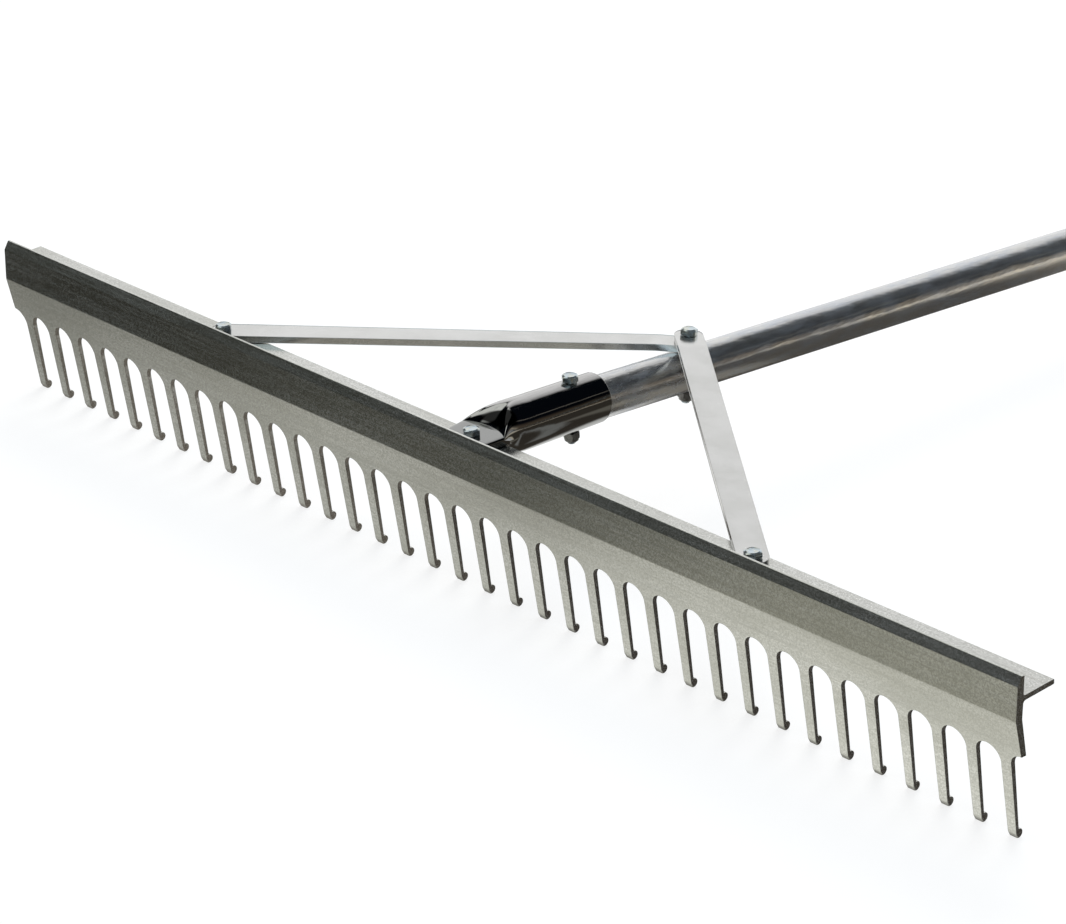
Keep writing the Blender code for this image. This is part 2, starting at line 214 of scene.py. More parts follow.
streak = (spot_x - spot_y * 1.5 - 1.14).math("ABSOLUTE").step(0.024, 0.008)
below_socket = (spot_y - spot_x).step(-0.735, -0.690) * spot_x.step(0.038, 0.004)
below_socket = below_socket * spot_y.step(-0.60, -0.68)
beyond = (spot_x - spot_y * 0.076).step(-0.10, -0.13)
# painted shadow of the head on the table just behind it, darker to the right, seen in the metal
painted_shadow_tones = colour(0.17, 0.150, 0.130), colour(0.060, 0.052, 0.046)
behind = colour(0.060, 0.052, 0.042)
for patch, tone in (
    (far, colour(0.72, 0.65, 0.53)),
    (beside_handle, colour(0.21, 0.195, 0.165)),
    (streak * spot_x.step(0.03, 0.05), colour(0.27, 0.27, 0.26)),
    (below_socket.math("MAXIMUM", beyond), colour(0.85, 0.85, 0.83)),
    (spot_y.step(-0.775, -0.800), spot_x.step(-0.15, 0.10).blend(*painted_shadow_tones)),
):
    behind = patch.blend(behind, tone)
# painted reflection: the table's tones as the metal sees them, strips in front of the head and
# patches behind it
painted_reflection = spot_y.step(-0.850, -0.858).blend(behind, front)
paper = ground.add("BsdfDiffuse", {}, {"Color": colour(0.80, 0.80, 0.80)})
reflection_glow = ground.add("Emission", {}, {"Color": painted_reflection, "Strength": 1.0})
shaded = ground.add("BsdfDiffuse", {}, {"Color": colour(0.22, 0.22, 0.22)})
glow = ground.add("Emission", {}, {"Color": WHITE, "Strength": 0.82})
shown = ground.add("AddShader", {}, {0: shaded, 1: glow})
glossy, direct = (light_path(ground, kind) for kind in ("Is Glossy Ray", "Is Camera Ray"))
unseen = ground.add("MixShader", {}, {0: glossy, 1: paper, 2: reflection_glow})
all_rays = ground.add("MixShader", {}, {0: direct, 1: unseen, 2: shown})
ground.add("OutputMaterial", {}, {"Surface": all_rays})
floor.data.materials.append(pale)

LAMP_TARGET = Vector((0, -0.4, 0))
for name, place, size, power, tint in (
    ("key", (-1.6, 1.4, 3.0), 2.2, 90.0, (1.0, 0.99, 0.96)),
    ("fill", (0.4, -0.6, 3.2), 2.6, 60.0, (0.76, 0.88, 1.0)),
):
    lamp = bpy.data.lights.new(name, "AREA")
    lamp.color = tint
    lamp.shape = "DISK"
    lamp.size = size
    lamp.energy = power
    lamp_object = bpy.data.objects.new(name, lamp)
    lamp_object.location = place
    aim = LAMP_TARGET - lamp_object.location
    lamp_object.rotation_euler = aim.to_track_quat("-Z", "Y").to_euler()
    lamp_object.visible_glossy = False
    bpy.context.scene.collection.objects.link(lamp_object)


# Head: one aluminium extrusion, an upright plate with a fin on top, a flange behind and a lower
# half that leans back, thickened at its lower edge. Round-topped gaps punched out of it from the
# front leave 36 teeth, with edges rolled over on the punch's side and a bead at each tip.
TEETH = 36
PITCH = 0.0254
HEAD_LENGTH = TEETH * PITCH
PLATE_THICK = 0.0054
PLATE_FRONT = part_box("rake_head")[0][1]
PLATE_REAR = PLATE_FRONT + PLATE_THICK
CROWN_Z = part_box("rake_head")[1][2]
FIN_HEIGHT = 0.0128
FIN_TOP_THICK = 0.0020
FIN_BEVEL_HEIGHT = 0.0057
FLANGE_TOP_Z = CROWN_Z - FIN_HEIGHT
FLANGE_RISE = math.radians(3.1)
FLANGE_DEPTH = 0.0260
FLANGE_THICK = 0.0032
CREASE_Z = 0.0836
GAP_TOP_Z = 0.0593
ARCH_RISE = 0.0095
SPRING_Z = GAP_TOP_Z - ARCH_RISE
LOWER_LEAN = math.radians(14.4)
TOOTH_LEAN = math.radians(10.3)
SPRING_THICK = 0.0039
SPRING_FRONT = PLATE_FRONT + (CREASE_Z - SPRING_Z) * math.tan(LOWER_LEAN)
SPRING_REAR = SPRING_FRONT + SPRING_THICK
ROOT_HALF = 0.0037
TIP_HALF = 0.00305
BEAD = 0.0029
BEAD_TOP = math.radians(100)
TIP_THICK = 0.0029
CHAMFER_Z = 0.0030
TIP_FRONT = SPRING_FRONT + (SPRING_Z - CHAMFER_Z) * math.tan(TOOTH_LEAN)
BEAD_Y = TIP_FRONT + TIP_THICK
BAND_Z = 0.0660
ROLLED = 0.0008
SHEARED = 0.00025
TIP_ROWS, STEM_ROWS, ARCH_ROWS = 13, 6, 10
COLUMNS_PER_TOOTH = 10
WELD = 2e-6


def flange_place(x, setback, height=0.0):
    """The frame on the flange's top, with its own z square to the flange."""
    rise = Matrix.Translation((0, PLATE_REAR, FLANGE_TOP_Z)) @ Matrix.Rotation(FLANGE_RISE, 4, "X")
    return rise @ Matrix.Translation((x, setback, height))


def placed(points, frame_there):
    """Points moved into a frame."""
    turned_there = np.array(frame_there.to_3x3())
    return points @ turned_there.T + np.array(frame_there.to_translation())


def front_of(z):
    """Front of the head at height z: upright above the crease, leaning back in two stages below."""
    foot = SPRING_FRONT + SPRING_Z * math.tan(TOOTH_LEAN)
    return np.interp(z, [0.0, SPRING_Z, CREASE_Z], [foot, SPRING_FRONT, PLATE_FRONT])


def rear_of(z):
    """Rear of the head at height z."""
    heights = [BEAD + BEAD * math.sin(BEAD_TOP), SPRING_Z, CREASE_Z]
    return np.interp(z, heights, [BEAD_Y + BEAD * math.cos(BEAD_TOP), SPRING_REAR, PLATE_REAR])


def softened(corners, radii, steps=4):
    """A polyline whose corners are rounded: near each one it follows the parabola that leaves one
    side and joins the next at that corner's radius."""
    corners = np.array(corners, float)
    t = np.linspace(0.0, 1.0, steps + 1)[:, None]
    path = [corners[:1]]
    for before, corner, after, radius in zip(corners, corners[1:], corners[2:], radii):
        start = corner + (before - corner) * radius / np.linalg.norm(before - corner)
        end = corner + (after - corner) * radius / np.linalg.norm(after - corner)
        path.append((1 - t) ** 2 * start + 2 * t * (1 - t) * corner + t**2 * end)
    path.append(corners[-1:])
    return np.concatenate(path)


def weave(points, wrap):
    """Corner numbers of the quads on a grid of points [..., row, column]. With wrap, the last
    column joins the first."""
    number = np.arange(points[..., 0].size).reshape(points.shape[:-1])
    if wrap:
        number = np.concatenate([number, number[..., :1]], axis=-1)
    near, far = number[..., :-1, :], number[..., 1:, :]
    quads = np.stack([near[..., :-1], near[..., 1:], far[..., 1:], far[..., :-1]], axis=-1)
    return quads.reshape(-1, 4)


def make_piece(name, sheets, finish, nodes, sharp=32.0):
    """A closed piece from grids of points: they are welded where they meet, flat ends are filled,
    and faces point outward. It stands for the named CAD nodes."""
    points = np.concatenate([grid.reshape(-1, 3) for grid, wrap in sheets])
    firsts = np.cumsum([0] + [grid[..., 0].size for grid, wrap in sheets])
    woven = [weave(grid, wrap) + first for (grid, wrap), first in zip(sheets, firsts)]
    mesh = bpy.data.meshes.new(name)
    mesh.from_pydata(points.tolist(), [], np.concatenate(woven).tolist())
    shape = bmesh.new()
    shape.from_mesh(mesh)
    bmesh.ops.remove_doubles(shape, verts=shape.verts, dist=WELD)
    bmesh.ops.holes_fill(shape, edges=[edge for edge in shape.edges if edge.is_boundary])
    bmesh.ops.recalc_face_normals(shape, faces=shape.faces)
    shape.to_mesh(mesh)
    shape.free()
    mesh.shade_smooth()
    mesh.set_sharp_from_angle(angle=math.radians(sharp))
    mesh.materials.append(finish)
    made = bpy.data.objects.new(name, mesh)
    bpy.context.scene.collection.objects.link(made)
    level = made.modifiers.new("level", "WEIGHTED_NORMAL")
    level.keep_sharp = True
    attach(made, "root")
    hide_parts(*nodes)


def teeth_grids():
    """Both halves of all teeth, each from the middle of the front round the punched edge to the
    middle of the rear. Rows go up from the tip: round the bead, up the tooth, then round the arch,
    where the edge is the ellipse of the gap and the inner line bends away to the band above."""
    angles = np.linspace(-math.pi / 2, BEAD_TOP, TIP_ROWS)
    rear_tip = np.stack([BEAD_Y + BEAD * np.cos(angles), BEAD + BEAD * np.sin(angles)], 1)
    tip_z = rear_tip[-1, 1]
    bottom = [BEAD_Y - 0.4 * BEAD, 0.0]
    share = np.linspace(0, 1, TIP_ROWS)
    chamfer = [bottom, [TIP_FRONT, CHAMFER_Z], [front_of(tip_z), tip_z]]
    front_tip = [np.interp(share, [0, 0.55, 1], values) for values in zip(*chamfer)]
    front_tip = np.stack(front_tip, 1)
    stem_z = np.linspace(tip_z, SPRING_Z, STEM_ROWS + 1)[1:]
    bend = np.linspace(0, math.pi / 2, ARCH_ROWS + 1)[1:]
    arch = np.concatenate([np.zeros(TIP_ROWS + STEM_ROWS), bend])
    arch_z = SPRING_Z + ARCH_RISE * np.sin(bend)
    front_z = np.concatenate([front_tip[:, 1], stem_z, arch_z])
    rear_z = np.concatenate([rear_tip[:, 1], stem_z, arch_z])
    gap = PITCH / 2 - ROOT_HALF

    def edge_x(z):
        straight = TIP_HALF + (ROOT_HALF - TIP_HALF) * np.minimum(z / SPRING_Z, 1)
        return np.where(arch > 0, PITCH / 2 - gap * np.cos(arch), straight)

    inward = np.stack([-np.cos(arch) / gap, np.sin(arch) / ARCH_RISE], 1)
    inward /= np.linalg.norm(inward, axis=1)[:, None]
    climb = np.clip(arch / (math.pi / 4), 0, 1)
    across = np.clip(arch / (math.pi / 4) - 1, 0, 1)
    target_x = across * PITCH / 2

    def target_z(z):
        return np.where(arch > 0, SPRING_Z + (BAND_Z - SPRING_Z) * climb, z)

    def surface_y(z, tip, of):
        y = of(z)
        y[:TIP_ROWS] = tip[:, 0]
        return y

    front_y = surface_y(front_z, front_tip, front_of)
    rear_y = surface_y(rear_z, rear_tip, rear_of)
    through = np.stack([rear_y - front_y, rear_z - front_z], 1)
    through /= np.linalg.norm(through, axis=1)[:, None]
    columns = []
    for z, tip, of, radius, way in (
        (front_z, front_tip, front_of, ROLLED, 1),
        (rear_z, rear_tip, rear_of, SHEARED, -1),
    ):
        side = []
        rim_x = edge_x(z) + inward[:, 0] * radius
        rim_z = z + inward[:, 1] * radius
        for s in (0.0, 0.5, 0.97, 1.0):
            x = target_x + (rim_x - target_x) * s
            height = target_z(z) + (rim_z - target_z(z)) * s
            side.append(np.stack([x, surface_y(height, tip, of), height], 1))
        for a in np.radians([22.5, 45, 67.5, 90]):
            x = edge_x(z) + inward[:, 0] * radius * (1 - np.sin(a))
            height = z + inward[:, 1] * radius * (1 - np.sin(a))
            deep = way * radius * (1 - np.cos(a))
            y = surface_y(height, tip, of) + deep * through[:, 0]
            side.append(np.stack([x, y, height + deep * through[:, 1]], 1))
        columns.append(side if way > 0 else side[::-1])
    half = np.stack(columns[0] + columns[1], 1)
    centres = -HEAD_LENGTH / 2 + PITCH * (np.arange(TEETH) + 0.5)
    both = np.stack([half, half * [-1, 1, 1]])
    return both[None] + np.pad(centres[:, None], ((0, 0), (0, 2)))[:, None, None, None]


def band_and_flange():
    """The outline above the teeth, carried along the head in columns that meet the teeth's."""
    slope = Vector((0, math.cos(FLANGE_RISE), math.sin(FLANGE_RISE)))
    square = Vector((0, -math.sin(FLANGE_RISE), math.cos(FLANGE_RISE)))
    root = Vector((0, PLATE_REAR, FLANGE_TOP_Z))
    rim = root + slope * FLANGE_DEPTH
    under = root - square * FLANGE_THICK
    corners = [(front_of(BAND_Z), BAND_Z), (PLATE_FRONT, CREASE_Z)]
    corners += [(PLATE_FRONT, CROWN_Z - FIN_BEVEL_HEIGHT), (PLATE_REAR - FIN_TOP_THICK, CROWN_Z)]
    corners += [(PLATE_REAR, CROWN_Z), root.yz, rim.yz, (rim - square * FLANGE_THICK).yz, under.yz]
    corners += [(PLATE_REAR, CREASE_Z), (rear_of(BAND_Z), BAND_Z)]
    radii = [0.0008, 0.0003, 0.0003, 0.0008, 0.0022, 0.0007, 0.0007, 0.0022, 0.0008]
    outline = softened([tuple(c) for c in corners], radii)
    x = np.linspace(-HEAD_LENGTH / 2, HEAD_LENGTH / 2, TEETH * COLUMNS_PER_TOOTH + 1)
    grid = np.empty((len(outline), len(x), 3))
    grid[..., 0] = x
    grid[..., 1:] = outline[:, None]
    return grid


def new_finish(name):
    """An empty material, its wires, its Object coordinates and its Principled shader."""
    made = bpy.data.materials.new(name)
    made.use_nodes = True
    root = Wire(made.node_tree)
    where = root.add("TexCoord", {}, {}, "Object")
    return made, root, where, made.node_tree.nodes["Principled BSDF"]


def stretched(root, coordinates, scale, turn=(0, 0, 0)):
    """Coordinates scaled along each axis and then turned, for streaks."""
    return root.add("Mapping", {}, {"Vector": coordinates, "Scale": scale, "Rotation": turn})


def noise(root, coordinates, scale, detail, rough):
    """Cloudy noise of a scale. The detail adds finer octaves, each as strong as rough says."""
    inputs = {"Vector": coordinates, "Scale": scale, "Detail": detail, "Roughness": rough}
    return root.add("TexNoise", {}, inputs)


def fill_in(root, shader, base, metallic, roughness, height, strength, distance):
    """Joins a Principled shader's sockets to wires, or sets those that are the same all over, and
    gives it small bumps of a height."""
    for socket, value in (("Base Color", base), ("Metallic", metallic), ("Roughness", roughness)):
        if isinstance(value, Wire):
            root.tree.links.new(value.socket, shader.inputs[socket])
        else:
            shader.inputs[socket].default_value = value
    bump = root.add("Bump", {}, {"Height": height, "Strength": strength, "Distance": distance})
    root.tree.links.new(bump.socket, shader.inputs["Normal"])


# mill finish: fine lines along the extrusion, a pitted grain, and soft blotches of oxide
mill, root, where, shader = new_finish("mill_aluminium")
lines = noise(root, stretched(root, where, (6.0, 420.0, 420.0)), 1.0, 4.0, 0.65)
scratches = noise(root, stretched(root, where, (14.0, 900.0, 900.0)), 1.0, 3.0, 0.7)
grain = noise(root, where, 820.0, 3.0, 0.75)
blotch = noise(root, stretched(root, where, (7.0, 24.0, 24.0)), 1.0, 4.0, 0.6)
tone = blotch.step(0.35, 0.65).blend(colour(0.68, 0.68, 0.635), colour(0.84, 0.84, 0.81))
tone = (grain.step(0.60, 0.40) * 0.62).blend(tone, colour(0.46, 0.465, 0.435))
tone = (lines.step(0.46, 0.66) * 0.45).blend(tone, colour(0.54, 0.54, 0.505))
metal = 1 - (scratches.step(0.44, 0.60) * 0.06 + grain.step(0.42, 0.58) * 0.05)
matte = grain * 0.10 + blotch * 0.08 + 0.10
fill_in(root, shader, tone, metal, matte, lines * 0.7 + grain * 0.6, 0.5, 0.00006)
head = [(teeth_grids(), False), (band_and_flange(), False)]
make_piece("rake_head_punched", head, mill, ["rake_head"])


# Handle: a drawn aluminium tube, plugged into the ferrule in front and into its cap behind. It
# carries fine lines along its length from the drawing die, and bluish stains and haze.
AXIS_HEIGHT = 0.1035
AXIS_SETBACK = 0.0031
TUBE_RADIUS = 0.0142875
TUBE_WALL = 0.00165
TUBE_BORE = TUBE_RADIUS - TUBE_WALL
TUBE_START = 0.062
TUBE_LENGTH = 1.6764
TUBE_END = TUBE_START + TUBE_LENGTH
HANDLE_FALL = math.radians(2.88025)


def handle_place(distance, height=0.0):
    """The frame on the handle's axis, with its own y along the handle toward the free end."""
    start = Matrix.Translation((0, PLATE_FRONT + AXIS_SETBACK, AXIS_HEIGHT))
    fallen = start @ Matrix.Rotation(-HANDLE_FALL, 4, "X")
    return fallen @ Matrix.Translation((0, distance, height))


def turned(profile, sides):
    """A grid round the local z axis from pairs of height and radius: x is r cos a, y is r sin a."""
    profile = np.array(profile, float)
    a = np.linspace(0, 2 * np.pi, sides, endpoint=False)
    height, radius = profile[:, :1], profile[:, 1:]
    return np.stack([radius * np.cos(a), radius * np.sin(a), height + 0 * a], -1)


def along_handle(profile, sides):
    """A turned grid laid along the handle."""
    return placed(turned(profile, sides), handle_place(0) @ Matrix.Rotation(-math.pi / 2, 4, "X"))


drawn, root, where, shader = new_finish("drawn_aluminium")
down_handle = stretched(root, where, (500.0, 5.0, 500.0), (-HANDLE_FALL, 0, 0))
drawn_lines = noise(root, down_handle, 1.0, 4.0, 0.6)
haze = noise(root, stretched(root, where, (45.0, 12.0, 45.0)), 1.0, 4.0, 0.6)
stain = noise(root, stretched(root, where, (170.0, 45.0, 170.0)), 1.0, 3.0, 0.6)
handled = parts_of(root, where)[1].step(-0.640, -0.700)
tone = haze.step(0.35, 0.7).blend(colour(0.77, 0.765, 0.745), colour(0.68, 0.685, 0.70))
tone = (stain.step(0.36, 0.70) * 0.45).blend(tone, colour(0.50, 0.56, 0.67))
tone = (drawn_lines.step(0.45, 0.7) * 0.35).blend(tone, colour(0.54, 0.55, 0.57))
metal = 0.94 - stain.step(0.36, 0.72) * 0.07
matte = haze * 0.14 + stain * 0.06 + stain.step(0.32, 0.72) * handled * 0.14 + 0.08
fill_in(root, shader, tone, metal, matte, haze * 20 + drawn_lines, 0.8, 0.00006)
tube_profile = [(TUBE_START, TUBE_BORE), (TUBE_START, TUBE_RADIUS), (TUBE_END, TUBE_RADIUS)]
tube_profile += [(TUBE_END, TUBE_BORE), (TUBE_START, TUBE_BORE)]
tube = [(along_handle(tube_profile, 128), True)]
make_piece("handle_tube_drawn", tube, drawn, ["handle_tube"])


# Ferrule: a bright steel socket round the front of the handle, pressed flat in front into a tongue
# that is bolted down on the flange. It is fuller in front, and its rear rim stands a little high.
CLEARANCE = 0.0003
SOCKET_BORE = TUBE_RADIUS + CLEARANCE
SOCKET_WALL = 0.0020
SOCKET_RADIUS = SOCKET_BORE + SOCKET_WALL
SOCKET_START = 0.0617
SOCKET_END = 0.1215
SWELL, DROP, LIFT = 0.0008, 0.00065, 0.0010
RIM_ROUND = 0.0006
BEHIND_PLATE = PLATE_REAR - PLATE_FRONT - AXIS_SETBACK
TONGUE_FRONT = 0.0029
TONGUE_ROUND = 0.006
TONGUE_HALF = 0.0172
TONGUE_FLARE = 0.112
TONGUE_THICK = 0.0061
SIDE_POWER, TOP_POWER = 0.18, 0.28
PRESS_START = 0.0285
PRESS_EDGE_START = 0.0225
PRESS_UNDER_START = 0.0266
PRESS_END = 0.0580
PRESS_SIDE_END = 0.0430


def socket_size(along):
    """The socket's radius at a distance along the handle, and its middle's height over the axis."""
    share = np.clip((along - TUBE_START) / (SOCKET_END - TUBE_START), 0, 1)
    return SOCKET_RADIUS + SWELL * (1 - share), (DROP + LIFT) * share - DROP


def ferrule_surface(c, s, distance, share, trim=0.0):
    """The outside in the direction of c across and s up, at a distance behind the plate. Where the
    share is 1 it is the tongue's rounded rectangle, with x as c to the side power and z as s to the
    top power. Where it is 0 it is the socket's circle, and between them it is the weighted mean."""
    nose = np.clip((TONGUE_FRONT + TONGUE_ROUND - distance) / TONGUE_ROUND, 0, 1)
    half = TONGUE_HALF + TONGUE_FLARE * distance - TONGUE_ROUND * (1 - np.sqrt(1 - nose**2))
    x = np.sign(c) * np.abs(c) ** SIDE_POWER * half
    z = CLEARANCE + TONGUE_THICK / 2 * (1 + np.sign(s) * np.abs(s) ** TOP_POWER)
    flat = placed(np.stack(np.broadcast_arrays(x, distance, z), -1), flange_place(0, 0))
    radius, lift = socket_size(distance + BEHIND_PLATE)
    rounds = ((radius - trim) * c, distance + BEHIND_PLATE, lift + (radius - trim) * s)
    full = placed(np.stack(np.broadcast_arrays(*rounds), -1), handle_place(0))
    return full + (flat - full) * share[..., None]


def ferrule_grid():
    """Rings from the tongue's nose to the rim and back inside. Behind the nose each ring is the
    same share of the way from where the flat ends, in an arc, to where the socket is round."""
    quarter = np.pi / 2 * (1 - (1 - np.linspace(0, 1, 31)) ** 1.8)
    half_turn = np.concatenate([quarter, np.pi - quarter[-2::-1]])
    a = np.concatenate([half_turn, np.pi + half_turn[1:-1]])[None]
    c, s = np.cos(a), np.sin(a)
    nose = (TONGUE_FRONT + TONGUE_ROUND * (1 - np.cos(np.linspace(0, np.pi / 2, 11))))[:, None]
    arc = PRESS_START - (PRESS_START - PRESS_EDGE_START) * np.abs(c) ** (2 * SIDE_POWER)
    start = np.where(s > 1e-6, arc, PRESS_UNDER_START)
    end = PRESS_END - (PRESS_END - PRESS_SIDE_END) * np.clip((np.abs(c) - 0.4) / 0.5, 0, 1)
    t = (np.linspace(0, 1, 37) ** 1.3)[:, None]
    rim = SOCKET_END - BEHIND_PLATE
    b = np.linspace(0, np.pi / 2, 5)[:, None]
    zero = np.zeros_like(b)
    grids = [ferrule_surface(c, s, nose + 0 * a, 1 + 0 * nose)]
    grids.append(ferrule_surface(c, s, start + (end - start) * t, (1 - t) ** 3))
    rounded = rim - RIM_ROUND * (1 - np.sin(b))
    grids.append(ferrule_surface(c, s, rounded, zero, RIM_ROUND * (1 - np.cos(b))))
    for along in (SOCKET_END, SOCKET_START):
        inside = [SOCKET_BORE, along, SOCKET_BORE] * np.stack([c, 0 * c + 1, s], -1)
        grids.append(placed(inside, handle_place(0)))
    return np.concatenate(grids)


# bright plate: painted shade, near black, in a slanting ellipse over the deep fold above the
# tongue, and the tongue darker
bright, root, where, shader = new_finish("bright_steel")
across, along, up = parts_of(root, where)
aside = across - 0.003
to_side = aside * (1 / 0.0145)
to_crease = (along + 0.8365 + aside * -0.35) * (1 / 0.0095)
# painted shade: near black inside this ellipse, above the tongue's top
painted_fold_shade = (to_side * to_side + to_crease * to_crease).step(1.0, 0.7) * up.step(0.1065, 0.1080)
ripple = noise(root, where, 55.0, 2.0, 0.5)
scuff = noise(root, stretched(root, where, (500.0, 60.0, 500.0)), 1.0, 3.0, 0.6)
tone = scuff.step(0.4, 0.75).blend(colour(0.56, 0.555, 0.55), colour(0.50, 0.495, 0.49))
tone = up.step(0.1085, 0.1065).blend(tone, colour(0.36, 0.365, 0.36))
tone = painted_fold_shade.blend(tone, colour(0.02, 0.02, 0.02))
fill_in(root, shader, tone, 1.0, scuff.step(0.45, 0.8) * 0.12 + 0.05, ripple, 0.35, 0.0003)
ferrule = [(ferrule_grid(), True)]
make_piece("ferrule_pressed", ferrule, bright, ["handle_ferrule"], 40.0)


# End cap: a moulded cup of black rubber with rounded edges, pushed over the free end of the handle.
# The rake rests on its lower rim.
CAP_BORE = TUBE_RADIUS + CLEARANCE
CAP_WALL = 0.0015
CAP_OUTER = CAP_BORE + CAP_WALL
CAP_DEPTH = 0.032
CAP_FLOOR_THICK = 0.0028
CAP_FLOOR = TUBE_END + CLEARANCE
CAP_MOUTH = CAP_FLOOR - CAP_DEPTH
CAP_END = CAP_FLOOR + CAP_FLOOR_THICK
rubber, root, where, shader = new_finish("black_rubber")
moulding = noise(root, where, 900.0, 3.0, 0.6)
dust = noise(root, where, 60.0, 4.0, 0.6)
tone = (dust.step(0.45, 0.8) * 0.5).blend(colour(0.022, 0.022, 0.023), colour(0.055, 0.053, 0.050))
fill_in(root, shader, tone, 0.0, moulding * 0.15 + dust * 0.15 + 0.40, moulding, 0.3, 0.00015)
cap_corners = [(CAP_FLOOR, 0.0), (CAP_FLOOR, CAP_BORE), (CAP_MOUTH, CAP_BORE)]
cap_corners += [(CAP_MOUTH, CAP_OUTER), (CAP_END, CAP_OUTER), (CAP_END, 0.0)]
cap_profile = softened(cap_corners, [0.0003, 0.0004, 0.0006, 0.0015], 6)
cap = [(along_handle(cap_profile, 96), True)]
make_piece("end_cap_moulded", cap, rubber, ["handle_end_cap"])


# Braces: two flat aluminium bars with round ends, bent where they leave the flange and where they
# reach the clamp bolt on the handle. The right one lies on the left one there.
BRACE_SPREAD = 0.2413
CLAMP_DISTANCE = 0.2065
BRACE_HALF = 0.009525
BRACE_THICK = 0.00476
BRACE_EDGE = 0.0002
BOLT_SETBACK = 0.0130
PAD = 0.020
BEND_HALF = 0.005
BEND_SOFTNESS = 0.003
BRACE_TIP = 0.0009


def plane_height(frame_there, points):
    """Height of a frame's own xy plane above the ground, at the places of points."""
    normal = np.array(frame_there.to_3x3() @ Vector((0, 0, 1)))
    origin = np.array(frame_there.to_translation())
    return origin[2] - ((points - origin) @ (normal * [1, 1, 0])) / normal[2]


def brace_grid(side, layer):
    """A rounded bar section carried from the flange to the clamp. Its underside follows the plane
    of one pad, then a straight line, then the plane of the other pad, averaged over 6 mm at the
    bends. At the ends its width is that of a half circle."""
    foot = flange_place(side * BRACE_SPREAD, BOLT_SETBACK, CLEARANCE)
    stack = TUBE_RADIUS + CLEARANCE + layer * (BRACE_THICK + CLEARANCE)
    clamp = handle_place(CLAMP_DISTANCE, stack)
    start, end = np.array(foot.to_translation()), np.array(clamp.to_translation())
    length = math.hypot(*(end - start)[:2])
    forward = np.array([*(end - start)[:2] / length, 0.0])
    sideways = np.array([-forward[1], forward[0], 0.0])
    a = np.linspace(0, np.pi / 2, 13)
    bend = np.linspace(-BEND_HALF, BEND_HALF, 6)
    bends = np.concatenate([PAD + bend, length - PAD + bend])
    distance = np.concatenate([-BRACE_HALF * np.cos(a), bends, length + BRACE_HALF * np.sin(a)])
    width = BRACE_HALF * np.concatenate([np.sin(a), np.ones_like(bends), np.cos(a)])
    width = np.maximum(width, BRACE_TIP)
    b = np.linspace(0, np.pi / 2, 5)
    inset, rise = BRACE_EDGE * (1 - np.sin(b)), BRACE_EDGE * (1 - np.cos(b))
    out = width[:, None] - np.concatenate([inset[::-1], inset])
    up = np.concatenate([rise[::-1], BRACE_THICK - rise])
    across = sideways * np.concatenate([out, -out[:, ::-1]], 1)[..., None]

    def underside(shift):
        t = distance[:, None] + shift
        near, far = np.minimum(t, PAD), np.maximum(t, length - PAD)
        low = plane_height(foot, start + across + forward * near[..., None])
        high = plane_height(clamp, start + across + forward * far[..., None])
        return low + (high - low) * np.clip((t - PAD) / (length - 2 * PAD), 0, 1)

    shifts = np.linspace(-BEND_SOFTNESS, BEND_SOFTNESS, 7)
    grid = start + forward * distance[:, None, None] + across
    grid[..., 2] = np.mean([underside(shift) for shift in shifts], axis=0)
    grid[..., 2] += np.concatenate([up, up[::-1]])
    return grid


bar, root, where, shader = new_finish("bar_aluminium")
cloud = noise(root, where, 28.0, 4.0, 0.6)
fine = noise(root, where, 1500.0, 2.0, 0.6)
tone = cloud.step(0.35, 0.7).blend(colour(0.76, 0.76, 0.75), colour(0.70, 0.70, 0.685))
fill_in(root, shader, tone, 0.97, fine * 0.08 + cloud * 0.10 + 0.10, fine, 0.25, 0.00004)
make_piece("left_brace_bar", [(brace_grid(-1, 0), True)], bar, ["left_brace"])
make_piece("right_brace_bar", [(brace_grid(1, 1), True)], bar, ["right_brace"])


# Fasteners: five zinc-plated M6 hexagon bolts, three down through the flange, one across the
# ferrule and one through both braces and the tube. Each has a locking nut whose collar holds a
# nylon ring.
BOLT_RADIUS = 0.003
BOLT_BEYOND = 0.002
POINT_HEIGHT = 0.0005
POINT_TAPER = 0.0004
THREAD_PITCH = 0.001
THREAD_LENGTH = 0.010
THREAD_DEPTH = 0.00055
THREAD_FADE = 0.0008
HEX_HALF = 0.005
HEAD_HEIGHT = 0.004
NUT_HEIGHT = 0.0044
COLLAR_HEIGHT = 0.0020
COLLAR_RADIUS = 0.00465
COLLAR_WALL = 0.0006
NUT_BORE = BOLT_RADIUS + CLEARANCE
CONE_SLOPE = 0.58
HEAD_CIRCLE, NUT_CIRCLE = 0.80, 0.96
FERRULE_BOLT_DISTANCE = 0.0992
FERRULE_BOLT_LEAN = math.radians(5)
SIDES = 72


def hexagon(a):
    """Distance from the centre to the side of the hexagon in the direction a."""
    return HEX_HALF / np.cos((a + np.pi / 6) % (np.pi / 3) - np.pi / 6)


def hex_prism(low, high, share, cut_below):
    """Sides of a hexagon cut back by a cone on top, and below too if asked, to a circle of that
    share of its half width. Each side ends in an arc: the end is lower by the cone's slope times
    what it reaches beyond the circle."""
    a = np.linspace(0, 2 * np.pi, SIDES, endpoint=False)
    side = hexagon(a)
    circle = HEX_HALF * share
    drop = (side - circle) * CONE_SLOPE
    rows = [(circle, low), (side, low + drop)] if cut_below else [(side, low)]
    rows += [(side, high - drop), (circle, high)]
    return np.stack([np.stack([r * np.cos(a), r * np.sin(a), z + 0 * a], -1) for r, z in rows])


